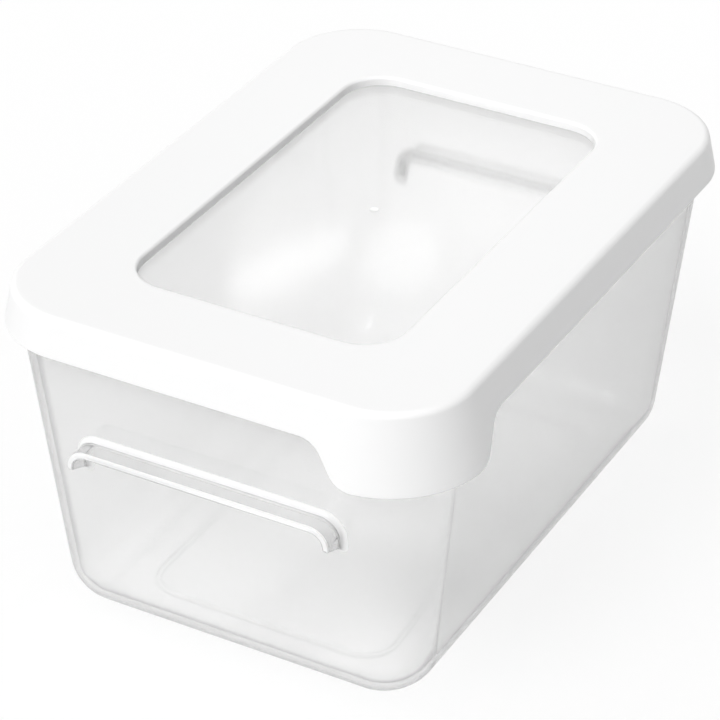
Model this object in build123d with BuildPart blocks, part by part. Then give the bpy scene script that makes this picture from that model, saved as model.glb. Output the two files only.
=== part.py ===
"""Storage box for milk bags in a freezer: a clear bin and a lift-off lid with a window.

The bin is one moulding: drafted walls with round corners, a generously rounded
base, a foot ring under the floor and a ledge handle on each end. The lid is an
opaque frame with a flared skirt that fits round the rim, and one corner of the
skirt drops into a grip tab. A clear pane sits in a rebate under the frame, and
the recess above it takes the foot ring of a box stacked on top.

Millimetres, +Z up. The origin is on the supporting surface under the middle of
the bin. X runs across the box, Y runs from handle to handle, and the grip tab
is at the +X, -Y corner.
"""

import os
from math import radians, tan

from build123d import *

os.makedirs("parts", exist_ok=True)

# Bin walls: the outline at the rim, and where the walls meet the floor's plane
rim_width = 206.3
rim_length = 290.2
rim_corner = 35.0
rim_height = 158.4
base_width = 172.8
base_length = 259.0
base_corner = 23.5
bin_wall = 3.2
floor_wall = 3.2
base_round = 22.0
rim_round = 1.0

# Ledge handles moulded on both ends: the legs are what is straight below the round
# corners, and the margin is the flat wall left round the fillet at the root
handle_length = 123.8
handle_reach = 11.0
handle_height = 102.0
handle_wall = 3.0
handle_corner = 9.0
handle_tip_leg = 1.0
handle_root_leg = 6.0
handle_edge_round = 0.8
handle_root_round = 2.2
handle_margin = 0.4

# Window in the lid, and the foot ring that stands in the window of a box below
window_width = 124.0
window_length = 208.8
window_corner = 19.0
window_depth = 4.35
window_round = 1.4
stack_clearance = 3.0
foot_height = 1.5
foot_wall = 2.0

# Lid frame
lid_clearance = 0.3
skirt_wall = 1.6
skirt_flare = 11.6
skirt_depth = 17.4
skirt_edge_round = 0.5
top_wall = 2.6
top_round = 3.2
seat_width = 2.4
collar_wall = 2.0

# Grip tab: its reach and run are along each face, from where the faces would meet
tab_reach = 53.0
tab_run = 12.0
tab_drop = 17.5
tab_round = 12.0

# Window pane
pane_wall = 2.2
pane_clearance = 0.1
gate_diameter = 4.0
gate_depth = 0.35

# How far a cutting body runs past the faces that it cuts, and how close to a
# face an edge has to be to lie on it
overrun = 5.0
touch = 0.01

# Levels that several pieces share
floor_top = foot_height + floor_wall
lid_top = rim_height + top_wall
pane_top = lid_top - window_depth
pane_bottom = pane_top - pane_wall
skirt_bottom = lid_top - skirt_depth
tab_bottom = skirt_bottom - tab_drop


def along_wall(at_floor, at_rim, height):
    """Size at a height of a bin wall that leans from one size to another."""
    share = (height - foot_height) / (rim_height - foot_height)
    return at_floor + (at_rim - at_floor) * share


def bin_outline(height, inset=0.0):
    """Width, length and corner radius of the bin at a height, moved in by inset."""
    return (
        along_wall(base_width, rim_width, height) - 2 * inset,
        along_wall(base_length, rim_length, height) - 2 * inset,
        along_wall(base_corner, rim_corner, height) - inset,
    )


def end_wall(height):
    """How far the outer face of an end wall is from the middle at a height."""
    return bin_outline(height)[1] / 2


def cavity_outline(height):
    """Width, length and corner radius of the hollow of the bin at a height."""
    return bin_outline(height, bin_wall)


def lid_outline(height, inset=0.0):
    """Width, length and corner radius of the flared skirt, moved in by inset."""
    flare = (rim_height - height) * tan(radians(skirt_flare))
    grow = lid_clearance + skirt_wall + flare - inset
    return rim_width + 2 * grow, rim_length + 2 * grow, rim_corner + grow


def skirt_inside(height):
    """Width, length and corner radius of the inner face of the skirt."""
    return lid_outline(height, skirt_wall)


def window_outline(grow):
    """Width, length and corner radius of the window, moved out by grow."""
    return window_width + 2 * grow, window_length + 2 * grow, window_corner + grow


def drafted_body(outline, bottom, top):
    """A body with round corners whose outline changes evenly from bottom to top."""
    with BuildPart() as body:
        with BuildSketch(Plane.XY.offset(bottom)):
            RectangleRounded(*outline(bottom))
        with BuildSketch(Plane.XY.offset(top)):
            RectangleRounded(*outline(top))
        loft(ruled=True)
    return body.part


def below_skirt(face, skirt_size):
    """What is cut away under the skirt beside the tab, seen square to one face."""
    corner = skirt_size / 2
    far = -corner - overrun
    past = corner + 4 * overrun
    with BuildPart() as cut:
        with BuildSketch(face) as profile:
            with BuildLine():
                Polyline(
                    (far, skirt_bottom),
                    (corner - tab_reach, skirt_bottom),
                    (corner - tab_reach + tab_run, tab_bottom),
                    (past, tab_bottom),
                    (past, tab_bottom - 2 * overrun),
                    (far, tab_bottom - 2 * overrun),
                    close=True,
                )
            make_face()
            slope_ends = profile.vertices().filter_by_position(
                Axis.X, corner - tab_reach, corner - tab_reach + tab_run
            )
            fillet(slope_ends, radius=tab_round)
        extrude(amount=lid_outline(tab_bottom)[1], both=True)
    return cut.part


def along_skirt_edge(edge):
    """Whether an edge runs along the lower edge of the skirt or of its tab."""
    low = edge.bounding_box().max.Z < skirt_bottom + touch
    return low and edge.length > 2 * skirt_wall


# Clear bin
handle_tip_z = handle_height - handle_corner - handle_tip_leg
handle_root_z = handle_height - handle_corner - handle_root_leg
handle_tip_y = end_wall(handle_height) + handle_reach
handle_start_y = end_wall(handle_root_z) - overrun
handle_slope = (handle_tip_z - handle_root_z) / (handle_tip_y - end_wall(handle_root_z))
flat_margin = handle_root_round + handle_margin
flat_bottom = handle_root_z - flat_margin
flat_top = handle_height + flat_margin

with BuildPart() as handle:
    # Seen from the end: a flat bar whose round ends turn down into short legs
    with BuildSketch(Plane.XZ.offset(handle_start_y)) as arch:
        with Locations((0, handle_root_z)):
            Rectangle(handle_length, 2 * (handle_height - handle_root_z))
        fillet(arch.vertices().group_by(Axis.Y)[-1], radius=handle_corner)
        offset(amount=-handle_wall, mode=Mode.SUBTRACT)
    extrude(amount=handle_tip_y - handle_start_y)
    # Seen from the side: the legs grow deeper towards the wall
    with BuildSketch(Plane.YZ):
        with BuildLine():
            Polyline(
                (-handle_start_y, handle_height),
                (-handle_tip_y, handle_height),
                (-handle_tip_y, handle_tip_z),
                (-handle_start_y, handle_root_z - overrun * handle_slope),
                close=True,
            )
        make_face()
    extrude(amount=handle_length, both=True, mode=Mode.INTERSECT)
    fillet(handle.faces().sort_by(Axis.Y)[0].edges(), radius=handle_edge_round)
    # The flat of the end wall that the handle grows out of
    with BuildSketch(Plane.YZ):
        with BuildLine():
            Polyline(
                (-end_wall(flat_bottom), flat_bottom),
                (-end_wall(flat_top), flat_top),
                (2 * overrun - end_wall(flat_top), flat_top),
                (2 * overrun - end_wall(flat_bottom), flat_bottom),
                close=True,
            )
        make_face()
    extrude(amount=handle_length / 2 + flat_margin, both=True)
    fillet(handle.edges(Select.NEW), radius=handle_root_round)

with BuildPart() as cavity:
    add(drafted_body(cavity_outline, floor_top, rim_height + overrun))
    fillet(cavity.edges().group_by(Axis.Z)[0], radius=base_round - bin_wall)

with BuildPart() as clear_bin:
    add(drafted_body(bin_outline, foot_height, rim_height))
    fillet(clear_bin.edges().group_by(Axis.Z)[0], radius=base_round)
    add(handle.part)
    add(handle.part.mirror(Plane.XZ))
    add(cavity.part, mode=Mode.SUBTRACT)
    fillet(clear_bin.edges().group_by(Axis.Z)[-1], radius=rim_round)
    with BuildSketch():
        RectangleRounded(*window_outline(-stack_clearance))
        offset(amount=-foot_wall, mode=Mode.SUBTRACT)
    extrude(amount=foot_height)
clear_bin.part.label = "clear_bin"
export_step(clear_bin.part, "parts/clear_bin.step")

# Lid frame
across = Plane.XZ
along = Plane(origin=(0, 0, 0), x_dir=(0, -1, 0), z_dir=(-1, 0, 0))

with BuildPart() as lid_frame:
    add(drafted_body(lid_outline, tab_bottom - overrun, lid_top))
    fillet(lid_frame.edges().group_by(Axis.Z)[-1], radius=top_round)
    add(
        drafted_body(skirt_inside, tab_bottom - overrun, rim_height),
        mode=Mode.SUBTRACT,
    )
    add(below_skirt(across, lid_outline(skirt_bottom)[0]), mode=Mode.SUBTRACT)
    add(below_skirt(along, lid_outline(skirt_bottom)[1]), mode=Mode.SUBTRACT)
    fillet(lid_frame.edges().filter_by(along_skirt_edge), radius=skirt_edge_round)
    # Rib under the frame with the rebate that the pane sits in
    with BuildSketch(Plane.XY.offset(pane_bottom)):
        RectangleRounded(*window_outline(seat_width + collar_wall))
    extrude(amount=rim_height - pane_bottom)
    with BuildSketch(Plane.XY.offset(pane_bottom)):
        RectangleRounded(*window_outline(seat_width))
    extrude(amount=pane_wall, mode=Mode.SUBTRACT)
    with BuildSketch(Plane.XY.offset(pane_top)):
        RectangleRounded(*window_outline(0))
    extrude(amount=window_depth, mode=Mode.SUBTRACT)
    fillet(lid_frame.faces().sort_by(Axis.Z)[-1].inner_wires().edges(), radius=window_round)
lid_frame.part.label = "lid_frame"
export_step(lid_frame.part, "parts/lid_frame.step")

# Window pane, with the dimple that its moulding gate leaves at the centre
gate_radius = ((gate_diameter / 2) ** 2 + gate_depth**2) / (2 * gate_depth)

with BuildPart() as window_pane:
    with BuildSketch(Plane.XY.offset(pane_bottom)):
        RectangleRounded(*window_outline(seat_width - pane_clearance))
    extrude(amount=pane_wall)
    with Locations((0, 0, pane_top - gate_depth + gate_radius)):
        Sphere(gate_radius, mode=Mode.SUBTRACT)
window_pane.part.label = "window_pane"
export_step(window_pane.part, "parts/window_pane.step")
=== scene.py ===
"""Looks of a milk storage freezer box: a clear bin and a white lid with a window.

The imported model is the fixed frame. The clear bin, the lid frame and the window
pane are dressed on it, and a pale studio is built round them.
"""

from __future__ import annotations

import logging
import math
from dataclasses import dataclass, field
from enum import IntEnum

import bpy
import numpy as np
from mathutils import Matrix, Vector
from mathutils.geometry import delaunay_2d_cdt

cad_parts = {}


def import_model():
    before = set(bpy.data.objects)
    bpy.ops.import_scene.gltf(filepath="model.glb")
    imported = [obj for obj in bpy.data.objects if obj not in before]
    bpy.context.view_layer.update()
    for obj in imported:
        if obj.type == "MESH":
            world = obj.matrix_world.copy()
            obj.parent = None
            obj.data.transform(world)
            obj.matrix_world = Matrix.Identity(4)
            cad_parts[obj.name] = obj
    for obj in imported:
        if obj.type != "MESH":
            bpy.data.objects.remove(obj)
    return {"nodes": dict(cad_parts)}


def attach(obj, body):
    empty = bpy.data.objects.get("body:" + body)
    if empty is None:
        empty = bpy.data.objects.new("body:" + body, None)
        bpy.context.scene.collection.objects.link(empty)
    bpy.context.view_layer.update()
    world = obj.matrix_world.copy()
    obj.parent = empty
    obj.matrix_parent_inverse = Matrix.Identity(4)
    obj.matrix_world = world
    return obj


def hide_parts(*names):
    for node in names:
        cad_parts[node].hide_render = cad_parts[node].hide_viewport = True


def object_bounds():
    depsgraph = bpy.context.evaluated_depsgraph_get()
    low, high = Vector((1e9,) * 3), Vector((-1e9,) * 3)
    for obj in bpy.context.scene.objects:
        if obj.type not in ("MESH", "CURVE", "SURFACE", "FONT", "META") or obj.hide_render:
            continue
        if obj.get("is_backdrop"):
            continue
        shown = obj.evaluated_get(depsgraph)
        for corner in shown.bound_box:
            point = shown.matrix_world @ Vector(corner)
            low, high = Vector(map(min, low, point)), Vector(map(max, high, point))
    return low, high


log = logging.getLogger("milk_box")

MM = 0.001
WELD = 0.0001
SAME_POINT = 1e-5
IMAGE_PIXELS = 720
QUARTER_TURN = math.pi / 2
WHITE = (1.0, 1.0, 1.0, 1.0)
Numbers = np.ndarray | float


class Finish(IntEnum):
    """The finishes of the bin's faces, numbered as its material slots."""

    POLISHED = 0
    SATIN = 1
    # Near-white milky rounds on the handles: painted highlight.
    FROSTED = 2
    THICK = 3
    LEVEL = 4


class Signal:
    """A node's output socket that Python arithmetic turns into Math nodes."""

    def __init__(self, shader: Shader, socket: bpy.types.NodeSocket) -> None:
        """Wraps an output socket of a node in that shader's tree."""
        self.shader = shader
        self.socket = socket

    def _math(self, operation: str, first: Signal | float, second: Signal | float) -> Signal:
        """Adds one Math node and returns what it gives."""
        return self.shader.add("ShaderNodeMath", {"operation": operation}, {0: first, 1: second})

    def __add__(self, other: Signal | float) -> Signal:
        """This signal plus another."""
        return self._math("ADD", self, other)

    __radd__ = __add__

    def __mul__(self, other: Signal | float) -> Signal:
        """This signal times another."""
        return self._math("MULTIPLY", self, other)

    __rmul__ = __mul__

    def either(self, other: Signal | float) -> Signal:
        """The larger of this signal and another."""
        return self._math("MAXIMUM", self, other)


class Shader:
    """A material's or the world's node tree, filled one node at a time."""

    def __init__(self, tree: bpy.types.NodeTree, output: str) -> None:
        """Empties the tree and gives it its output node.

        Args:
            tree: The node tree.
            output: The type of its output node.
        """
        tree.nodes.clear()
        self.tree = tree
        self.output = tree.nodes.new(output)

    def add(
        self,
        kind: str,
        settings: dict[str, object] | None = None,
        inputs: dict[str | int, object] | None = None,
        result: str | int = 0,
    ) -> Signal:
        """Adds a node.

        Args:
            kind: The node's type.
            settings: Its settings, which are set first.
            inputs: The values or signals of its sockets, by name or number.
            result: The output that is returned.

        Returns:
            That output, as a signal.
        """
        node = self.tree.nodes.new(kind)
        for name, value in (settings or {}).items():
            setattr(node, name, value)
        for key, value in (inputs or {}).items():
            self.feed(node.inputs[key], value)
        return Signal(self, node.outputs[result])

    def feed(self, socket: bpy.types.NodeSocket, value: object) -> None:
        """Links a signal to a socket, or sets the socket to a plain value.

        Args:
            socket: The input socket.
            value: The signal or the plain value.
        """
        if isinstance(value, Signal):
            self.tree.links.new(value.socket, socket)
        else:
            socket.default_value = value

    def bumps(self, scale: float, share: float, height: float) -> Signal:
        """Makes a normal that noise over the object's own coordinates tilts.

        Args:
            scale: The scale of the noise.
            share: How much of the bump is used.
            height: The height of the bumps in metres.

        Returns:
            The normal.
        """
        place = self.add("ShaderNodeTexCoord", result="Object")
        noise = self.add(
            "ShaderNodeTexNoise", inputs={"Vector": place, "Scale": scale, "Detail": 2.0}
        )
        return self.add(
            "ShaderNodeBump", inputs={"Height": noise, "Strength": share, "Distance": height}
        )

    def finish(self, surface: Signal) -> None:
        """Sends a shader to the tree's output."""
        self.tree.links.new(surface.socket, self.output.inputs["Surface"])


def new_material(name: str) -> tuple[bpy.types.Material, Shader]:
    """Makes an empty node material.

    Args:
        name: The material's name.

    Returns:
        The material and the shader that fills it.
    """
    material = bpy.data.materials.new(name)
    material.use_nodes = True
    return material, Shader(material.node_tree, "ShaderNodeOutputMaterial")


def grey(level: float) -> tuple[float, float, float, float]:
    """An opaque grey of that level."""
    return (level, level, level, 1.0)


def new_object(name: str, data: bpy.types.ID) -> bpy.types.Object:
    """Makes an object in the scene, at the origin.

    Args:
        name: The object's name.
        data: Its mesh, lamp or camera.

    Returns:
        The object.
    """
    obj = bpy.data.objects.new(name, data)
    bpy.context.scene.collection.objects.link(obj)
    return obj


def aimed(right: Vector, up: Vector, back: Vector, place: Vector) -> Matrix:
    """The matrix of an object whose three axes and place are given, which looks along -back."""
    return Matrix.Translation(place) @ Matrix((right, up, back)).transposed().to_4x4()


@dataclass(frozen=True)
class ClearPlastic:
    """Clear moulded plastic: slightly grey in the thickness, with faint flow marks.

    The tint and the painted edge shade are grey levels. The share of light that is not
    transmitted is scattered, which makes the plastic milky.
    """

    name: str = "clear_plastic"
    tint: float = 0.96
    transmission: float = 0.9
    index: float = 1.5
    roughness: float = 0.03
    flow_scale: float = 26.0
    flow_height: float = 0.00002
    edge_start: float = 0.45
    edge_end: float = 1.0
    edge_shade_share: float = 0.5
    edge_painted_shade: float = 0.3

    def material(self) -> bpy.types.Material:
        """Builds the material, which lets lamps shine through.

        The plastic darkens towards its edges and where its faces are seen slantwise. This is
        painted shade: it stands in for the shadowed floor and dark surroundings that the
        edges show, on top of the longer way through the plastic there. As the face turns from
        edge start to edge end, its colour goes smoothly from the tint to edge shade share of
        the way to the painted edge shade.

        Returns:
            The material.
        """
        material, shader = new_material(self.name)
        # Painted shade: the base colour darkens where a face is seen slantwise, at edges and
        # silhouettes.
        slant = shader.add("ShaderNodeLayerWeight", inputs={"Blend": 0.5}, result="Facing")
        share = shader.add(
            "ShaderNodeMapRange",
            {"interpolation_type": "SMOOTHSTEP"},
            {"Value": slant, 1: self.edge_start, 2: self.edge_end, 3: 0.0, 4: self.edge_shade_share},
        )
        colour = shader.add(
            "ShaderNodeMix",
            {"data_type": "RGBA"},
            {0: share, 6: grey(self.tint), 7: grey(self.edge_painted_shade)},
            2,
        )
        plastic = shader.add(
            "ShaderNodeBsdfPrincipled",
            inputs={
                "Base Color": colour,
                "Roughness": self.roughness,
                "IOR": self.index,
                "Transmission Weight": self.transmission,
                "Normal": shader.bumps(self.flow_scale, 1.0, self.flow_height),
            },
        )
        lamp_path = shader.add("ShaderNodeBsdfTransparent", inputs={"Color": grey(self.tint)})
        shadow = shader.add("ShaderNodeLightPath", result="Is Shadow Ray")
        shader.finish(
            shader.add("ShaderNodeMixShader", inputs={0: shadow, 1: plastic, 2: lamp_path})
        )
        return material


# The edge settings of these finishes paint shade onto the bin's edges and slanted faces.
BIN_FINISHES = {
    Finish.POLISHED: ClearPlastic(
        transmission=0.75, edge_start=0.55, edge_shade_share=0.8, edge_painted_shade=0.2
    ),
    Finish.SATIN: ClearPlastic(
        name="satin_inside",
        transmission=0.95,
        roughness=0.12,
        edge_start=0.62,
        edge_end=0.82,
        edge_shade_share=1.0,
        edge_painted_shade=0.0,
    ),
    # Painted highlight: the handles' rounds and tip faces scatter near-white, standing in for
    # highlight lines.
    Finish.FROSTED: ClearPlastic(name="highlight_rounds", transmission=0.2, roughness=0.2),
    Finish.THICK: ClearPlastic(
        name="thick_plastic", tint=0.87, transmission=0.8, edge_shade_share=0.2
    ),
    Finish.LEVEL: ClearPlastic(name="satin_floor", transmission=0.95, roughness=0.12),
}
PANE_PLASTIC = ClearPlastic(name="pane_plastic", transmission=0.97, roughness=0.07)
# The gate's dimple is real. Its near-white finish is a painted highlight.
GATE_HIGHLIGHT = ClearPlastic(name="gate_highlight", transmission=0.05, roughness=0.2)


@dataclass(frozen=True)
class WhitePlastic:
    """Opaque white plastic with a satin skin and a fine spark texture."""

    name: str = "white_plastic"
    colour: float = 0.9
    index: float = 1.5
    roughness: float = 0.3
    spark_scale: float = 1800.0
    spark_height: float = 0.00003
    spark_share: float = 0.3

    def material(self) -> bpy.types.Material:
        """Builds the material.

        Returns:
            The material.
        """
        material, shader = new_material(self.name)
        normal = shader.bumps(self.spark_scale, self.spark_share, self.spark_height)
        plastic = shader.add(
            "ShaderNodeBsdfPrincipled",
            inputs={
                "Base Color": grey(self.colour),
                "Roughness": self.roughness,
                "IOR": self.index,
                "Normal": normal,
            },
        )
        shader.finish(plastic)
        return material


def shares(steps: int) -> np.ndarray:
    """Even shares from 0 to 1, one row each, with that many steps between them."""
    return np.linspace(0, 1, steps + 1)[:, None]


def by_level(value: Numbers) -> np.ndarray:
    """A value for each level, or for each level and column, as one row per level."""
    return np.asarray(value, float).reshape(len(np.atleast_1d(value)), -1)


def quarter_round(
    lean: Numbers,
    centre_inset: Numbers,
    centre_level: float,
    radius: float,
    angles: np.ndarray,
) -> tuple[np.ndarray, np.ndarray]:
    """Works out a round between a leaning wall and a level face.

    In the upright section through the wall, the round is centre + radius * (cos angle,
    sin angle), with the angle measured from straight outwards. The inset of a point is
    how far it is inside the wall's leaning line at the point's own level, so it is
    centre inset - radius * cos angle + lean * (level - centre level).

    Args:
        lean: How far the wall moves outwards per unit of height.
        centre_inset: How far the round's centre is inside the wall's line.
        centre_level: The centre's height.
        radius: The radius.
        angles: The angles, in radians, one row per level.

    Returns:
        The inset and the height of each point.
    """
    rise = radius * np.sin(angles)
    inset = centre_inset - radius * np.cos(angles) + lean * rise
    return inset, centre_level + rise


def rounded_profile(points: list[tuple[float, float, float]], steps: int) -> np.ndarray:
    """Rounds the corners of a profile.

    At each inner point the two runs are cut back by radius * tan(half the turn), and
    the points between lie on the arc that touches both runs.

    Args:
        points: Across, up and corner radius of each point.
        steps: How many runs each arc has.

    Returns:
        The across and up of each point of the rounded profile, one row per point.
    """
    corners = np.array(points)
    place, radii = corners[:, :2], corners[:, 2]
    rows = [place[:1]]
    for index in range(1, len(place) - 1):
        before = place[index - 1] - place[index]
        after = place[index + 1] - place[index]
        before /= np.linalg.norm(before)
        after /= np.linalg.norm(after)
        half = math.acos(float(np.clip(before @ after, -1, 1))) / 2
        middle = (before + after) / np.linalg.norm(before + after)
        centre = place[index] + middle * radii[index] / math.sin(half)
        start = place[index] + before * radii[index] / math.tan(half) - centre
        end = place[index] + after * radii[index] / math.tan(half) - centre
        share = shares(steps)
        sweep = math.pi - 2 * half
        weight_start = np.sin((1 - share) * sweep) / math.sin(sweep)
        weight_end = np.sin(share * sweep) / math.sin(sweep)
        rows.append(centre + weight_start * start + weight_end * end)
    rows.append(place[-1:])
    return np.concatenate(rows)


@dataclass(frozen=True)
class Course:
    """The columns round a rectangle with round corners, anticlockwise from the -Y middle.

    A column is a share of the way from the middle to each pair of corner centres, and
    an outward direction. Its place at a level is share * (half size - corner radius)
    + direction * corner radius, so the same columns serve every level of a piece.
    """

    across: int
    along: int
    corner: int

    def columns(self) -> np.ndarray:
        """Works out the columns.

        Returns:
            Four rows: the share along X and Y, and the direction's X and Y.
        """
        slide_x = np.linspace(-1, 1, self.across + 1)[:-1]
        slide_y = np.linspace(-1, 1, self.along + 1)[:-1]
        turn = np.linspace(0, QUARTER_TURN, self.corner + 1)[:-1]
        sides = []
        for quarter in range(4):
            angle = quarter * QUARTER_TURN
            out_x, out_y = round(math.sin(angle)), round(-math.cos(angle))
            next_x, next_y = -out_y, out_x
            slide = slide_y if quarter % 2 else slide_x
            flat = np.ones_like(slide)
            side = [
                next_x * slide + out_x * flat,
                next_y * slide + out_y * flat,
                out_x * flat,
                out_y * flat,
            ]
            bend = np.ones_like(turn)
            corner = [
                (out_x + next_x) * bend,
                (out_y + next_y) * bend,
                out_x * np.cos(turn) + next_x * np.sin(turn),
                out_y * np.cos(turn) + next_y * np.sin(turn),
            ]
            sides += [np.array(side), np.array(corner)]
        table = np.concatenate(sides, axis=1)
        return np.roll(table, -(self.across // 2), axis=1)

    def place(
        self,
        half_width: Numbers,
        half_length: Numbers,
        corner: Numbers,
        level: Numbers,
    ) -> np.ndarray:
        """Places the columns at one or more levels.

        Args:
            half_width: Half the outline's size along X, for each level or point.
            half_length: Half its size along Y.
            corner: Its corner radius.
            level: Its height.

        Returns:
            Points in millimetres, by level and column.
        """
        share_x, share_y, out_x, out_y = self.columns()
        half_width, half_length, corner, level = (
            by_level(value) for value in (half_width, half_length, corner, level)
        )
        x = share_x * (half_width - corner) + out_x * corner
        y = share_y * (half_length - corner) + out_y * corner
        x, y, level = np.broadcast_arrays(x, y, level)
        return np.stack([x, y, level], axis=-1)

    def around(self, outline: tuple[float, float, float], profile: np.ndarray) -> np.ndarray:
        """Places the columns on an outline that a profile grows at each level.

        Args:
            outline: Half its width, half its length and its corner radius.
            profile: How far it is grown and the height, one row per level.

        Returns:
            Points in millimetres, by level and column.
        """
        half_width, half_length, corner = outline
        grow, level = profile[:, :1], profile[:, 1:]
        return self.place(half_width + grow, half_length + grow, corner + grow, level)


class Skin:
    """A closed surface that is put together from patches and then welded."""

    def __init__(self, name: str) -> None:
        """Starts an empty skin.

        Args:
            name: The name of the piece.
        """
        self.name = name
        self.points: list[np.ndarray] = []
        self.faces: list[np.ndarray] = []
        self.slots: list[np.ndarray] = []
        self.count = 0

    def add_faces(self, points: np.ndarray, faces: np.ndarray, slot: int = 0) -> None:
        """Adds faces.

        Args:
            points: Their points in millimetres, one row each.
            faces: Four point numbers per face; a triangle names its last point twice.
            slot: Their material slot.
        """
        self.points.append(points.reshape(-1, 3))
        self.faces.append(faces + self.count)
        self.slots.append(np.full(len(faces), slot))
        self.count += self.points[-1].shape[0]

    def add_grid(
        self,
        points: np.ndarray,
        slot: int = 0,
        round_rows: bool = False,
        keep: np.ndarray | None = None,
    ) -> None:
        """Adds a grid that closes on itself along its columns.

        A face joins a point, the next column, that column's next row and the next row,
        so it looks outwards where columns run anticlockwise and rows run upwards.

        Args:
            points: The points by row and column.
            slot: The material slot.
            round_rows: Whether the last row joins the first.
            keep: Which faces to keep, by row and column.
        """
        rows, columns = points.shape[:2]
        number = np.arange(rows * columns).reshape(rows, columns)
        above = np.roll(number, -1, axis=0)
        if not round_rows:
            number, above = number[:-1], above[:-1]
        faces = np.stack(
            [number, np.roll(number, -1, axis=1), np.roll(above, -1, axis=1), above], axis=-1
        )
        faces = faces[keep] if keep is not None else faces.reshape(-1, 4)
        self.add_faces(points, faces, slot)

    def add_cap(self, ring: np.ndarray, slot: int = 0, upwards: bool = True) -> None:
        """Closes a flat ring with triangles that meet at its middle.

        Args:
            ring: The ring's points, anticlockwise from above.
            slot: The material slot.
            upwards: Whether the cap looks up.
        """
        column = np.arange(len(ring))
        after = np.roll(column, -1)
        middle = np.full_like(column, len(ring))
        turn = (column, after) if upwards else (after, column)
        faces = np.stack([*turn, middle, middle], axis=-1)
        self.add_faces(np.vstack([ring, ring.mean(axis=0)]), faces, slot)

    def build(self, materials: list[bpy.types.Material]) -> bpy.types.Object:
        """Welds the patches and makes the object.

        Points closer than a tenth of a micrometre become one, and a face that keeps
        only three different points becomes a triangle. A point's normal is the sum of
        the cross products of its faces, so large flat faces stay flat to the eye.

        Args:
            materials: The materials, by slot.

        Returns:
            The object, at the origin, in metres.
        """
        points = np.concatenate(self.points)
        faces = np.concatenate(self.faces)
        slots = np.concatenate(self.slots)
        _, first, number = np.unique(
            np.round(points / WELD).astype(np.int64), axis=0, return_index=True, return_inverse=True
        )
        points = points[first] * MM
        faces = number.ravel()[faces]
        repeats = faces == np.roll(faces, -1, axis=1)
        solid = repeats.sum(axis=1) < 2
        faces, slots, repeats = faces[solid], slots[solid], repeats[solid]
        used = ~repeats
        sizes = used.sum(axis=1)
        starts = np.concatenate([[0], np.cumsum(sizes)[:-1]])
        mesh = bpy.data.meshes.new(self.name)
        mesh.vertices.add(len(points))
        mesh.vertices.foreach_set("co", points.astype(np.float32).ravel())
        mesh.loops.add(int(sizes.sum()))
        mesh.loops.foreach_set("vertex_index", faces[used].astype(np.int32))
        mesh.polygons.add(len(faces))
        mesh.polygons.foreach_set("loop_start", starts.astype(np.int32))
        for material in materials:
            mesh.materials.append(material)
        mesh.polygons.foreach_set("material_index", slots.astype(np.int32))
        mesh.update(calc_edges=True)
        mesh.validate()
        mesh.shade_smooth()
        mesh.normals_split_custom_set_from_vertices(self.normals(points, faces))
        return new_object(self.name, mesh)

    @staticmethod
    def normals(points: np.ndarray, faces: np.ndarray) -> np.ndarray:
        """Sums the cross products of each point's faces, and makes the sums unit long.

        Args:
            points: The points, one row each.
            faces: Four point numbers per face.

        Returns:
            A normal per point.
        """
        one, two, three, four = (points[faces[:, side]] for side in range(4))
        area = np.cross(three - one, four - two)
        total = np.zeros_like(points)
        for side in range(4):
            np.add.at(total, faces[:, side], area)
        return total / np.linalg.norm(total, axis=1, keepdims=True)


@dataclass(frozen=True)
class BinWall:
    """The clear bin's leaning walls, in millimetres."""

    rim_width: float = 206.3
    rim_length: float = 290.2
    rim_corner: float = 35.0
    rim_height: float = 158.4
    base_width: float = 172.8
    base_length: float = 259.0
    base_corner: float = 23.5
    foot_height: float = 1.5

    def size(self, at_base: float, at_rim: float, level: Numbers) -> Numbers:
        """A size that changes evenly from the base to the rim."""
        share = (level - self.foot_height) / (self.rim_height - self.foot_height)
        return at_base + (at_rim - at_base) * share

    def rise(self, at_base: float, at_rim: float) -> float:
        """How much a size changes per unit of height."""
        return (at_rim - at_base) / (self.rim_height - self.foot_height)

    def end(self, level: Numbers) -> Numbers:
        """How far the outer face of an end wall is from the middle."""
        return self.size(self.base_length, self.rim_length, level) / 2

    def lean(self, course: Course) -> np.ndarray:
        """How far the wall moves outwards per unit of height, at each column.

        It is the corner radius's own growth plus the corner centre's move along the
        column's direction.

        Args:
            course: The columns.

        Returns:
            A number per column.
        """
        corner = self.rise(self.base_corner, self.rim_corner)
        move_x = self.rise(self.base_width, self.rim_width) / 2 - corner
        move_y = self.rise(self.base_length, self.rim_length) / 2 - corner
        _, _, out_x, out_y = course.columns()
        return corner + move_x * np.abs(out_x) + move_y * np.abs(out_y)

    def place(self, course: Course, inset: np.ndarray, level: np.ndarray) -> np.ndarray:
        """Places columns at levels, moved in from the outer face by an inset.

        Args:
            course: The columns.
            inset: The inset, for each level or point.
            level: The height, for each level or point.

        Returns:
            Points in millimetres, by level and column.
        """
        inset, level = np.broadcast_arrays(by_level(inset), by_level(level))
        return course.place(
            self.size(self.base_width, self.rim_width, level) / 2 - inset,
            self.size(self.base_length, self.rim_length, level) / 2 - inset,
            self.size(self.base_corner, self.rim_corner, level) - inset,
            level,
        )


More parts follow.
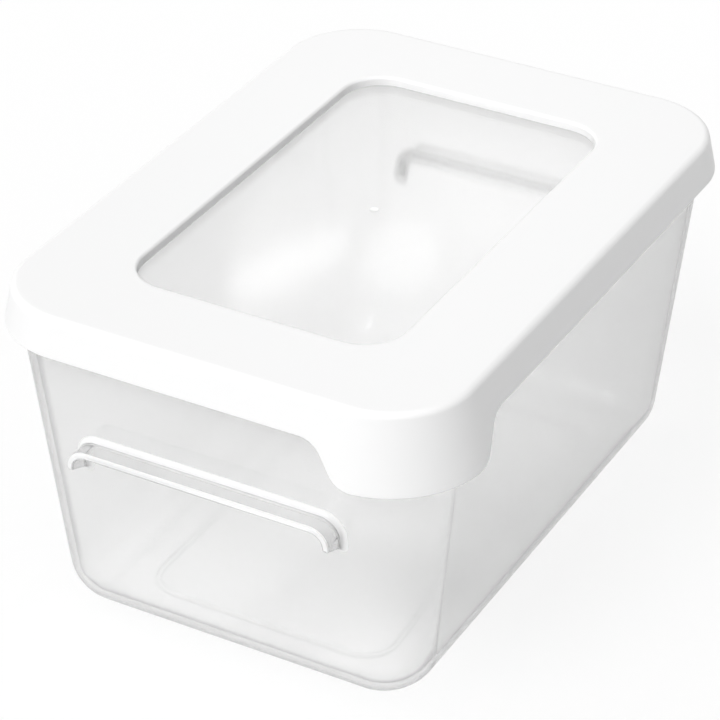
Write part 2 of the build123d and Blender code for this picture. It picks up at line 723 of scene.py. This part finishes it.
@dataclass
class ClearBin:
    """The clear bin: leaning walls, a rounded base, a foot ring and two ledge handles.

    The levels are those of the rows of points on the walls, and the two panel levels
    bound the panels that the handles stand on. The apron is the flat beside the ring.
    """

    wall: BinWall = field(default_factory=BinWall)
    course: Course = field(default_factory=lambda: Course(across=12, along=20, corner=24))
    thickness: float = 3.2
    floor_level: float = 4.7
    base_round: float = 22.0
    base_steps: int = 10
    rim_round: float = 1.0
    rim_steps: int = 5
    low_levels: tuple[float, ...] = (30, 40, 50, 60, 70)
    panel_levels: tuple[float, float] = (82, 107)
    high_levels: tuple[float, ...] = (118, 130, 140, 150, 156.5)
    inner_levels: tuple[float, ...] = (156.5, 145, 130, 115, 100, 85, 70, 55, 40, 28)
    ring_outline: tuple[float, float, float] = (59.0, 101.4, 16.0)
    ring_thickness: float = 2.0
    ring_edge: float = 0.3
    ring_steps: int = 3
    ring_apron: float = 1.0

    def outer_rows(self) -> tuple[np.ndarray, int]:
        """Places the outer face, from the foot ring up to the rim's top.

        Returns:
            The points by row and column, and the row at the foot of the handles' panels.
        """
        lean = self.wall.lean(self.course)
        slant = np.arctan(lean)
        foot = self.wall.foot_height
        low_inset, low_level = quarter_round(
            lean,
            self.base_round / np.cos(slant),
            foot + self.base_round,
            self.base_round,
            -QUARTER_TURN + shares(self.base_steps) * (QUARTER_TURN - slant),
        )
        levels = np.array([*self.low_levels, *self.panel_levels, *self.high_levels])
        high_inset, high_level = quarter_round(
            lean,
            self.rim_round / np.cos(slant),
            self.wall.rim_height - self.rim_round,
            self.rim_round,
            -slant + shares(self.rim_steps) * (QUARTER_TURN + slant),
        )
        wall_level = np.repeat(levels[:, None], len(lean), axis=1)
        inset = np.concatenate([low_inset, np.zeros_like(wall_level), high_inset])
        level = np.concatenate([low_level, wall_level, high_level])
        panel_row = len(low_level) + len(self.low_levels)
        return self.wall.place(self.course, inset, level), panel_row

    def inner_rows(self) -> np.ndarray:
        """Places the inner face, from the rim's top down to the edge of the flat floor.

        Returns:
            The points by row and column.
        """
        lean = self.wall.lean(self.course)
        slant = np.arctan(lean)
        radius = self.base_round - self.thickness
        high_inset, high_level = quarter_round(
            lean,
            self.thickness - self.rim_round / np.cos(slant),
            self.wall.rim_height - self.rim_round,
            self.rim_round,
            QUARTER_TURN + shares(self.rim_steps) * (QUARTER_TURN - slant),
        )
        wall_level = np.repeat(np.array(self.inner_levels)[:, None], len(lean), axis=1)
        low_inset, low_level = quarter_round(
            lean,
            self.thickness + radius / np.cos(slant),
            self.floor_level + radius,
            radius,
            -slant - shares(self.base_steps) * (QUARTER_TURN - slant),
        )
        inset = np.concatenate([high_inset, np.full_like(wall_level, self.thickness), low_inset])
        level = np.concatenate([high_level, wall_level, low_level])
        return self.wall.place(self.course, inset, level)

    def ring_rows(self) -> np.ndarray:
        """Places the foot ring, from the middle of the underside out past its outer side.

        Returns:
            The points by row and column.
        """
        foot = self.wall.foot_height
        inner = -self.ring_thickness
        profile = rounded_profile(
            [
                (inner - self.ring_apron, foot, 0.0),
                (inner, foot, self.ring_edge),
                (inner, 0.0, self.ring_edge),
                (0.0, 0.0, self.ring_edge),
                (0.0, foot, self.ring_edge),
                (self.ring_apron, foot, 0.0),
            ],
            self.ring_steps,
        )
        return self.course.around(self.ring_outline, profile)

    def build(self, finishes: dict[Finish, ClearPlastic]) -> bpy.types.Object:
        """Builds the bin, with a panel left out of each end wall for its handle.

        Args:
            finishes: What each finish is made of.

        Returns:
            The bin's object.
        """
        skin = Skin("bin_shell")
        ring = self.ring_rows()
        outer, panel_row = self.outer_rows()
        inner = self.inner_rows()
        body = np.concatenate([ring, outer])
        foot, head = body[len(ring) + panel_row : len(ring) + panel_row + 2]
        ends = self.end_columns()
        keep = np.ones((len(body) - 1, body.shape[1]), bool)
        for columns in ends:
            keep[len(ring) + panel_row, columns[:-1]] = False
        skin.add_grid(body, keep=keep)
        skin.add_cap(ring[0], upwards=False)
        skin.add_grid(np.concatenate([outer[-1:], inner]), slot=Finish.SATIN)
        skin.add_cap(inner[-1], slot=Finish.LEVEL)
        handle = LedgeHandle(self.wall)
        for turned, columns in zip((False, True), ends):
            edge = np.concatenate([foot[columns], head[columns[::-1]]])
            handle.add_to(skin, edge, turned)
        return skin.build([finishes[finish].material() for finish in Finish])

    def end_columns(self) -> tuple[np.ndarray, np.ndarray]:
        """Finds the columns across the flats of the two end walls.

        Returns:
            Their numbers at the -Y end and at the +Y end.
        """
        count = self.course.columns().shape[1]
        half = self.course.across // 2
        front = np.arange(-half, half + 1) % count
        return front, (front + count // 2) % count


@dataclass
class LedgeHandle:
    """A flat bar on an end wall, with round ends that turn down into short legs.

    The steps are how many runs each arc and each straight part is drawn with.
    """

    wall: BinWall
    length: float = 123.8
    reach: float = 11.0
    top: float = 102.0
    thickness: float = 3.0
    corner: float = 9.0
    tip_leg: float = 1.0
    root_leg: float = 6.0
    edge: float = 0.8
    root_round: float = 2.2
    leg_round: float = 0.9
    leg_round_steps: int = 4
    leg_steps: int = 3
    bend_steps: int = 12
    bar_steps: int = 40
    fillet_steps: int = 8
    side_steps: int = 4
    edge_steps: int = 4

    def arch(self) -> np.ndarray:
        """Works out the bar's outline as seen from the end, anticlockwise.

        The outer chain runs up the right leg, over and down the left leg, and the
        inner chain comes back under the bar. Each point is a base place, plus its
        outward direction times how far the outline grows, plus a share of how far the
        legs' ends drop below the tip's.

        Returns:
            Five rows: X, Z, the outward direction's X and Z, and the share.
        """
        side = self.length / 2
        bend_x, bend_z = side - self.corner, self.top - self.corner
        leg_z = bend_z - self.tip_leg + self.leg_round
        inside = self.corner - self.thickness
        foot = np.linspace(-QUARTER_TURN, 0, self.leg_round_steps + 1)
        bend = np.linspace(0, QUARTER_TURN, self.bend_steps + 1)
        slide = np.linspace(1, -1, self.bar_steps + 1)[1:-1]
        leg = np.linspace(0, 1, self.leg_steps + 1)[1:-1]

        def arc(
            centre: tuple[float, float], radius: float, turn: np.ndarray, out: float, share: float
        ) -> np.ndarray:
            """Works out an arc.

            Args:
                centre: Its centre's X and Z.
                radius: Its radius.
                turn: The angle of each point, from straight along X.
                out: 1 where the bar is inside the arc, and -1 where it is outside.
                share: The share of every point.

            Returns:
                The five rows.
            """
            cos, sin = np.cos(turn), np.sin(turn)
            return np.stack(
                [
                    centre[0] + radius * cos,
                    centre[1] + radius * sin,
                    out * cos,
                    out * sin,
                    share + 0 * turn,
                ]
            )

        def chain(radius: float, foot_x: float, out: float) -> np.ndarray:
            """Works out a whole chain, from the right leg's end over to the left one's.

            Args:
                radius: The radius of its two bends.
                foot_x: The X of the right leg's end round.
                out: 1 for the outer chain and -1 for the inner one.

            Returns:
                The five rows.
            """
            turn = foot if out > 0 else -math.pi - foot
            run = [
                bend_x + radius + 0 * leg,
                leg_z + (bend_z - leg_z) * leg,
                out + 0 * leg,
                0 * leg,
                1 - leg,
            ]
            right = np.concatenate(
                [
                    arc((foot_x, leg_z), self.leg_round, turn, 1.0, 1.0),
                    np.stack(run),
                    arc((bend_x, bend_z), radius, bend, out, 0.0),
                ],
                axis=1,
            )
            none = 0 * slide
            flat = np.stack([bend_x * slide, bend_z + radius + none, none, out + none, none])
            left = right[:, ::-1] * np.array([-1, 1, -1, 1, 1])[:, None]
            return np.concatenate([right, flat, left], axis=1)

        outer = chain(self.corner, side - self.leg_round, 1.0)
        inner = chain(inside, side - self.thickness + self.leg_round, -1.0)
        return np.concatenate([outer, inner[:, ::-1]], axis=1)

    def rows(self) -> np.ndarray:
        """Places the bar's sides for the -Y end, from the foot of its fillet to the tip.

        The fillet is a quarter circle between the leaning wall and the sides, the
        sides run straight to the tip, and a smaller quarter circle rounds the tip.
        The legs' ends rise evenly from the wall to the tip.

        Returns:
            The points by row and by place along the bar's outline.
        """
        x, z, out_x, out_z, share = self.arch()
        tip_y = self.wall.end(self.top) + self.reach
        tip_z = self.top - self.corner - self.tip_leg
        root_z = self.top - self.corner - self.root_leg
        depth = tip_y - self.wall.end(root_z)
        turn = np.linspace(0, QUARTER_TURN, self.fillet_steps + 1)[:, None]
        run = shares(self.side_steps)[1:]
        straight = depth - self.root_round - self.edge
        fillet_depth = self.root_round * (1 - np.cos(turn))
        side_depth = self.root_round + run * straight
        edge_turn = np.linspace(0, QUARTER_TURN, self.edge_steps + 1)[1:, None]
        edge_depth = depth - self.edge * (1 - np.sin(edge_turn))
        grow = np.concatenate(
            [self.root_round * (1 - np.sin(turn)), 0 * run, -self.edge * (1 - np.cos(edge_turn))]
        )
        out = np.concatenate([fillet_depth, side_depth, edge_depth])
        drop = (tip_z - root_z) * (1 - out / depth)
        across = x + grow * out_x
        level = z + grow * out_z - share * drop
        wall_y = self.wall.end(level)
        fillet_y = wall_y[: len(turn)] + fillet_depth
        start_y = wall_y[len(turn) : len(turn) + len(run)] + self.root_round
        side_y = start_y * (1 - run) + (tip_y - self.edge) * run
        edge_y = tip_y - self.edge * (1 - np.sin(edge_turn)) + 0 * x
        depth_y = np.concatenate([fillet_y, side_y, edge_y])
        return np.stack([across, -depth_y, level], axis=-1)

    def panel(self, edge: np.ndarray, foot: np.ndarray) -> tuple[np.ndarray, np.ndarray]:
        """Fills the flat wall between a panel's edge and the foot of the fillet.

        Of the triangles between all the points, those stay that only the panel's own
        loop goes round.

        Args:
            edge: The panel's edge, anticlockwise as seen from outside.
            foot: The foot of the fillet, anticlockwise too.

        Returns:
            The points, and the triangles with their last point named twice.
        """
        points = np.concatenate([edge, foot])
        numbers = list(range(len(points)))
        loops = [numbers[: len(edge)], numbers[len(edge) :]]
        flat = [Vector((x, z)) for x, _, z in points]
        _, _, faces, _, _, loops_over = delaunay_2d_cdt(flat, [], loops, 0, SAME_POINT, True)
        triangles = np.array([face for face, over in zip(faces, loops_over) if over == [0]])
        return points, np.concatenate([triangles, triangles[:, -1:]], axis=1)

    def add_to(self, skin: Skin, edge: np.ndarray, turned: bool) -> None:
        """Adds the handle and the panel of wall round it.

        The fillet, the upper half of the tip's round and the tip's end face are near-white:
        painted highlight along the handle's edges. The sides and the lower half of that round
        show the thickness of the plastic.

        Args:
            skin: The bin's skin.
            edge: The panel's edge, anticlockwise as seen from outside.
            turned: Whether the handle is on the +Y end, half a turn round.
        """
        turn = np.array([-1.0, -1.0, 1.0]) if turned else np.ones(3)
        rows = self.rows()
        points, triangles = self.panel(edge * turn, rows[0])
        skin.add_faces(points * turn, triangles)
        root = self.fillet_steps
        tip = root + self.side_steps
        count = rows.shape[1]
        over = np.tile(np.arange(count) < count // 2, (self.edge_steps, 1))
        # Painted highlight on the fillet, the upper tip round and the tip face.
        skin.add_grid(rows[: root + 1] * turn, slot=Finish.FROSTED)
        skin.add_grid(rows[root : tip + 1] * turn, slot=Finish.THICK)
        skin.add_grid(rows[tip:] * turn, slot=Finish.FROSTED, keep=over)
        skin.add_grid(rows[tip:] * turn, slot=Finish.THICK, keep=~over)
        outer = np.arange(count // 2 - 1)
        inner = count - 1 - outer
        faces = np.stack([outer, outer + 1, inner - 1, inner], axis=-1)
        skin.add_faces(rows[-1] * turn, faces, slot=Finish.FROSTED)


@dataclass
class LidFrame:
    """The white lid: a flared skirt with a grip tab, and a window with a rebate.

    The aprons are the flats beside the rounds. The straight rows of the skirt end the
    straight gap below the rim's height. The fade gaps, the first above the skirt's edge
    and the second below the rim's height, bound where the tab's drop fades out.
    """

    wall: BinWall = field(default_factory=BinWall)
    course: Course = field(default_factory=lambda: Course(across=110, along=180, corner=32))
    clearance: float = 0.3
    skirt_wall: float = 1.6
    flare: float = 11.6
    skirt_depth: float = 17.4
    skirt_edge: float = 0.5
    edge_steps: int = 4
    skirt_steps: int = 8
    top_wall: float = 2.6
    top_round: float = 3.2
    round_steps: int = 8
    tab_reach: float = 53.0
    tab_run: float = 12.0
    tab_drop: float = 17.5
    tab_round: float = 12.0
    window_outline: tuple[float, float, float] = (62.0, 104.4, 19.0)
    window_depth: float = 4.35
    window_round: float = 1.4
    window_steps: int = 5
    seat_width: float = 2.4
    collar_wall: float = 2.0
    pane_wall: float = 2.2
    small_edge: float = 0.25
    rib_fillet: float = 0.5
    under_fillet: float = 0.4
    straight_gap: float = 1.2
    fade_gaps: tuple[float, float] = (1.0, 1.5)
    outer_apron: float = 1.5
    window_apron: float = 2.0
    under_apron: float = 3.0

    @property
    def top(self) -> float:
        """The level of the lid's flat top."""
        return self.wall.rim_height + self.top_wall

    @property
    def skirt_bottom(self) -> float:
        """The level of the skirt's lower edge away from the tab."""
        return self.top - self.skirt_depth

    def half_sizes(self, inset: Numbers, level: Numbers) -> tuple[Numbers, Numbers, Numbers]:
        """Works out the skirt's outer face at a level, less an inset.

        Args:
            inset: How far inside the outer face, for each level or point.
            level: The height.

        Returns:
            Half the width, half the length and the corner radius.
        """
        flare = (self.wall.rim_height - level) * math.tan(math.radians(self.flare))
        grow = self.clearance + self.skirt_wall + flare - inset
        return (
            self.wall.rim_width / 2 + grow,
            self.wall.rim_length / 2 + grow,
            self.wall.rim_corner + grow,
        )

    def tab_line(self, place: np.ndarray, half_size: float) -> np.ndarray:
        """The level of the lower edge, as a function of the place along one face.

        It is level, then falls in a straight slope to the tab's level, and each of the
        two bends is an arc: level = start level - radius + sqrt(radius^2 - x^2), with x
        from the bend's start, and the same upside down at the foot of the slope.

        Args:
            place: The place along the face, growing towards the tab's corner.
            half_size: Where the two faces would meet.

        Returns:
            The level at each place.
        """
        slope = math.atan2(self.tab_drop, self.tab_run)
        cut = self.tab_round * math.tan(slope / 2)
        head = half_size - self.tab_reach
        bend = self.tab_round * math.sin(slope)
        from_head = place - (head - cut)
        from_foot = (head + self.tab_run + cut) - place
        radius = self.tab_round

        def arc(run: np.ndarray) -> np.ndarray:
            """How far a bend has left its level after a run."""
            return radius - np.sqrt(radius**2 - np.clip(run, 0, bend) ** 2)

        drop = np.where(
            from_foot > bend,
            arc(from_head) + np.clip(from_head - bend, 0, None) * math.tan(slope),
            self.tab_drop - arc(from_foot),
        )
        return self.skirt_bottom - drop

    def lower_edge(self) -> np.ndarray:
        """Works out the level of the lower edge: the higher of the two faces' lines.

        Returns:
            A level per column.
        """
        half_x, half_y, corner = self.half_sizes(0.0, self.skirt_bottom)
        ring = self.course.place(half_x, half_y, corner, self.skirt_bottom)[0]
        return np.maximum(self.tab_line(ring[:, 0], half_x), self.tab_line(-ring[:, 1], half_y))

    def skirt_rows(self, inset: np.ndarray, level: np.ndarray) -> np.ndarray:
        """Places rows of the skirt, drawn down to the tab's edge.

        A row at the lower edge moves by the whole drop of that edge, and the move
        fades evenly to nothing just below the level where the skirt meets the top.

        Args:
            inset: How far inside the outer face, one number per row.
            level: The height before the move, one number per row.

        Returns:
            Points in millimetres, by row and column.
        """
        low = self.skirt_bottom + self.fade_gaps[0]
        hold = self.wall.rim_height - self.fade_gaps[1]
        inset = np.asarray(inset, float)[:, None]
        level = np.asarray(level, float)[:, None]
        share = np.clip((hold - level) / (hold - low), 0, 1)
        level = level + share * (self.lower_edge() - self.skirt_bottom)
        return self.course.place(*self.half_sizes(inset, level), level)

    def outer_rows(self) -> np.ndarray:
        """Places the skirt's outer face and the round to the flat top.

        Returns:
            The points by row and column.
        """
        lean = -math.tan(math.radians(self.flare))
        slant = math.atan(lean)
        levels = np.linspace(
            self.skirt_bottom + self.skirt_edge,
            self.wall.rim_height - self.straight_gap,
            self.skirt_steps + 1,
        )
        inset, level = quarter_round(
            lean,
            self.top_round / math.cos(slant),
            self.top - self.top_round,
            self.top_round,
            -slant + np.linspace(0, 1, self.round_steps + 1) * (QUARTER_TURN + slant),
        )
        return self.skirt_rows(
            np.concatenate([0 * levels, inset, [self.top_round + self.outer_apron]]),
            np.concatenate([levels, level, [self.top]]),
        )

    def window_rows(self) -> np.ndarray:
        """Places the window's edge, its wall, the rebate for the pane and the rib round it.

        Returns:
            The points by row and column.
        """
        pane_top = self.top - self.window_depth
        pane_bottom = pane_top - self.pane_wall
        under = self.wall.rim_height
        rib = self.seat_width + self.collar_wall
        profile = rounded_profile(
            [
                (self.window_round + self.window_apron, self.top, 0.0),
                (0.0, self.top, self.window_round),
                (0.0, pane_top, self.small_edge),
                (self.seat_width, pane_top, self.small_edge),
                (self.seat_width, pane_bottom, self.small_edge),
                (rib, pane_bottom, self.small_edge),
                (rib, under, self.rib_fillet),
                (rib + self.window_apron, under, 0.0),
            ],
            self.window_steps,
        )
        return self.course.around(self.window_outline, profile)

    def inner_rows(self) -> np.ndarray:
        """Places the underside, the skirt's inner face and its lower edge.

        Returns:
            The points by row and column, up to where the outer face starts.
        """
        profile = rounded_profile(
            [
                (self.skirt_wall + self.under_apron, self.wall.rim_height, 0.0),
                (self.skirt_wall, self.wall.rim_height, self.under_fillet),
                (self.skirt_wall, self.skirt_bottom, self.skirt_edge),
                (0.0, self.skirt_bottom, self.skirt_edge),
                (0.0, self.wall.rim_height, 0.0),
            ],
            self.edge_steps,
        )
        return self.skirt_rows(profile[:-1, 0], profile[:-1, 1])

    def build(self, white: WhitePlastic) -> bpy.types.Object:
        """Builds the lid as one closed ring of rows, in the order that the methods stand.

        Args:
            white: Its finish.

        Returns:
            The lid's object.
        """
        skin = Skin("lid_shell")
        rows = np.concatenate([self.outer_rows(), self.window_rows(), self.inner_rows()])
        skin.add_grid(rows, round_rows=True)
        return skin.build([white.material()])


@dataclass
class WindowPane:
    """The clear pane in the lid, with the dimple that its moulding gate leaves.

    The gate shares are the circles in the dimple, as shares of its radius, and the
    spread shares are how far each row round it has opened out to the outline.
    """

    frame: LidFrame
    course: Course = field(default_factory=lambda: Course(across=24, along=40, corner=16))
    clearance: float = 0.1
    seat_gap: float = 0.05
    edge: float = 0.3
    edge_steps: int = 4
    gate_diameter: float = 4.0
    gate_depth: float = 0.35
    gate_lip: float = 0.5
    gate_shares: tuple[float, ...] = (1.0, 0.92, 0.8, 0.6, 0.4, 0.2, 0.05)
    spread_shares: tuple[float, ...] = (0.7, 0.4, 0.15, 0.04)
    apron: float = 6.0

    def build(self, clear: ClearPlastic, gate: ClearPlastic) -> bpy.types.Object:
        """Builds the pane.

        Round the gate the rows are circles, level = top - depth * (1 - (r / radius)^2)
        inside the dimple, and they open out evenly from the last circle to the outline.

        Args:
            clear: The pane's finish.
            gate: The finish of the gate's dimple, near-white as a painted highlight.

        Returns:
            The pane's object.
        """
        top = self.frame.top - self.frame.window_depth - self.seat_gap
        bottom = self.frame.top - self.frame.window_depth - self.frame.pane_wall
        side = rounded_profile(
            [
                (-self.apron, bottom, 0.0),
                (0.0, bottom, self.edge),
                (0.0, top, self.edge),
                (-self.apron, top, 0.0),
            ],
            self.edge_steps,
        )
        fit = self.frame.seat_width - self.clearance
        outline = tuple(size + fit for size in self.frame.window_outline)
        rim = self.course.around(outline, side)
        angle = np.arctan2(rim[0, :, 1], rim[0, :, 0])

        def circles(radius: Numbers, level: Numbers) -> np.ndarray:
            """One or more circles round the gate."""
            place = (radius * np.cos(angle), radius * np.sin(angle), level)
            return np.stack(np.broadcast_arrays(*place), axis=-1)

        radius = self.gate_diameter / 2
        share = np.array(self.gate_shares)[:, None]
        circle = circles(radius * share, top - self.gate_depth * (1 - share**2))
        lip = circles(radius + self.gate_lip, top)
        spread = np.array(self.spread_shares)[:, None, None]
        opening = rim[-1] * spread + lip * (1 - spread)
        skin = Skin("pane_sheet")
        skin.add_grid(np.concatenate([rim, opening, lip[None], circle[:1]]))
        # Painted highlight: the dimple gets the near-white gate finish.
        skin.add_grid(circle, slot=1)
        skin.add_cap(rim[0], upwards=False)
        skin.add_cap(circle[-1], slot=1)
        return skin.build([clear.material(), gate.material()])


@dataclass(frozen=True)
class SoftLamp:
    """A round lamp, far off, whose level is the brightness of a white surface that faces it."""

    name: str
    direction: tuple[float, float, float]
    angle: float
    level: float

    def build(self) -> None:
        """Hangs the lamp. Its strength is pi times its level."""
        data = bpy.data.lights.new(self.name, "SUN")
        data.angle = math.radians(self.angle)
        data.energy = math.pi * self.level
        lamp = new_object(self.name, data)
        direction = Vector(self.direction).normalized()
        lamp.location = direction
        lamp.rotation_mode = "QUATERNION"
        lamp.rotation_quaternion = direction.to_track_quat("Z", "Y")


@dataclass(frozen=True)
class BackCard:
    """A small bright card behind the box, whose reflection lies on the pane at a target."""

    name: str
    target: tuple[float, float, float]
    length: float
    width: float
    level: float
    along: tuple[float, float, float] = (0.34, 0.94, 0.0)
    distance: float = 1.5

    def build(self, camera_place: tuple[float, float, float]) -> None:
        """Hangs the card on the ray that goes from the camera to the target and mirrors there.

        A lamp's energy is pi times its area times the brightness that it shows.

        Args:
            camera_place: The camera's place in millimetres.
        """
        data = bpy.data.lights.new(self.name, "AREA")
        data.shape = "ELLIPSE"
        data.size = self.length
        data.size_y = self.width
        data.energy = self.level * math.pi * math.pi / 4 * self.length * self.width
        ray = (Vector(self.target) - Vector(camera_place)).normalized()
        ray.z = -ray.z
        along = Vector(self.along)
        across = (along - ray * along.dot(ray)).normalized()
        up = ray.cross(across)
        place = Vector(self.target) * MM + ray * self.distance
        new_object(self.name, data).matrix_world = aimed(across, up, ray, place)


@dataclass
class Studio:
    """A pale floor, a soft lamp, bright cards and the camera.

    The glows are how white the floor is where it is seen straight, and where it is
    seen mirrored or through glass. Its colour is what the seen floor scatters, and its
    bounce is what it scatters as light on the box.
    """

    floor_size: float = 40.0
    floor_colour: float = 0.95
    floor_bounce: float = 0.5
    floor_glow: float = 0.8
    glass_glow: float = 0.7
    world_level: float = 0.65
    world_slope: tuple[float, float, float] = (-0.12, -0.42, 0.0)
    lamps: tuple[SoftLamp, ...] = (
        SoftLamp("overhead", (-0.06, -0.6, 0.8), 34.0, 0.48),
    )
    cards: tuple[BackCard, ...] = (
        BackCard("round_card", (29.4, -31.0, 156.6), 0.07, 0.06, 0.85),
        BackCard("long_card", (-9.0, -57.0, 156.6), 0.12, 0.034, 1.4),
        BackCard("wide_card", (38.0, -12.0, 156.6), 0.4, 0.3, 0.5),
    )
    camera_place: tuple[float, float, float] = (559.57, -1018.09, 821.23)
    azimuth: float = 29.0995
    elevation: float = 32.5367
    roll: float = -0.1689
    focal_pixels: float = 3117.86
    sensor: float = 36.0
    clip: tuple[float, float] = (0.05, 50.0)

    def build(self) -> None:
        """Builds the floor, the lamps, the cards and the camera, and sets the world."""
        self.build_floor()
        self.build_world()
        for lamp in self.lamps:
            lamp.build()
        for card in self.cards:
            card.build(self.camera_place)
        self.build_camera()
        bpy.context.scene.view_settings.view_transform = "Standard"

    @staticmethod
    def showing_rays(shader: Shader) -> list[Signal]:
        """Reads which rays only show a background.

        Args:
            shader: The shader that asks.

        Returns:
            Three signals, 1 for rays straight from the camera, mirrored ones and ones
            that come through glass.
        """
        path = shader.add("ShaderNodeLightPath").socket.node
        names = ("Is Camera Ray", "Is Glossy Ray", "Is Transmission Ray")
        return [Signal(shader, path.outputs[name]) for name in names]

    def build_floor(self) -> None:
        """Builds the flat floor, white where it is seen, with part of the shadow kept."""
        half = self.floor_size / 2
        mesh = bpy.data.meshes.new("floor")
        mesh.from_pydata(
            [(-half, -half, 0), (half, -half, 0), (half, half, 0), (-half, half, 0)],
            [],
            [(0, 1, 2, 3)],
        )
        material, shader = new_material("floor")
        white = shader.add("ShaderNodeEmission", inputs={"Color": WHITE, "Strength": 1.0})
        camera, glossy, glass = self.showing_rays(shader)
        colour = shader.add(
            "ShaderNodeMix",
            {"data_type": "RGBA"},
            {
                0: camera.either(glossy).either(glass),
                6: grey(self.floor_bounce),
                7: grey(self.floor_colour),
            },
            2,
        )
        lit = shader.add("ShaderNodeBsdfDiffuse", inputs={"Color": colour})
        share = (camera * self.floor_glow).either(glossy.either(glass) * self.glass_glow)
        shader.finish(shader.add("ShaderNodeMixShader", inputs={0: share, 1: lit, 2: white}))
        mesh.materials.append(material)
        floor = new_object("floor", mesh)
        floor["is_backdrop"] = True

    def build_world(self) -> None:
        """Sets the world: soft light that is strongest from the front left, white where seen.

        The light from a direction is the world's level plus the direction's dot product
        with the slope.
        """
        world = bpy.data.worlds.new("studio")
        world.use_nodes = True
        bpy.context.scene.world = world
        shader = Shader(world.node_tree, "ShaderNodeOutputWorld")
        camera, glossy, glass = self.showing_rays(shader)
        direction = shader.add("ShaderNodeTexCoord", result="Generated")
        lean = shader.add(
            "ShaderNodeVectorMath",
            {"operation": "DOT_PRODUCT"},
            {0: direction, 1: self.world_slope},
            "Value",
        )
        soft = shader.add(
            "ShaderNodeBackground",
            inputs={"Color": WHITE, "Strength": lean + self.world_level},
        )
        white = shader.add("ShaderNodeBackground", inputs={"Color": WHITE, "Strength": 1.0})
        share = camera.either(glossy).either(glass)
        shader.finish(shader.add("ShaderNodeMixShader", inputs={0: share, 1: soft, 2: white}))

    def build_camera(self) -> None:
        """Puts the camera at its place, looking down on the front corner."""
        data = bpy.data.cameras.new("camera")
        data.sensor_width = self.sensor
        data.lens = self.focal_pixels * self.sensor / IMAGE_PIXELS
        data.clip_start, data.clip_end = self.clip
        turn, lift, roll = (math.radians(a) for a in (self.azimuth, self.elevation, self.roll))
        back = Vector(
            (math.sin(turn) * math.cos(lift), -math.cos(turn) * math.cos(lift), math.sin(lift))
        )
        right = (-back).cross(Vector((0, 0, 1))).normalized()
        up = right.cross(-back)
        camera = new_object("camera", data)
        camera.matrix_world = aimed(
            right * math.cos(roll) + up * math.sin(roll),
            up * math.cos(roll) - right * math.sin(roll),
            back,
            Vector(self.camera_place) * MM,
        )
        bpy.context.scene.camera = camera


def corners(box: tuple[Vector, Vector]) -> list[list[float]]:
    """A box's two corners as plain lists."""
    return [list(corner) for corner in box]


def main() -> None:
    """Builds the box and its studio, and logs each piece."""
    logging.basicConfig(level=logging.INFO, format="%(message)s")
    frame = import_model()
    cad_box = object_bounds()
    lid = LidFrame()
    pane = WindowPane(lid)
    shells = (
        (ClearBin().build(BIN_FINISHES), "bin", "clear_bin", "clear_plastic"),
        (lid.build(WhitePlastic()), "lid", "lid_frame", "white_plastic"),
        (pane.build(PANE_PLASTIC, GATE_HIGHLIGHT), "lid", "window_pane", "clear_plastic"),
    )
    for shell, body, node, slot in shells:
        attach(shell, body)
        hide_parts(node)
        log.info("%s: %d faces", shell.name, len(shell.data.polygons))
    Studio().build()
    sizes = {"cad": corners(cad_box), "scene": corners(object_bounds())}


if __name__ == "__main__":
    main()
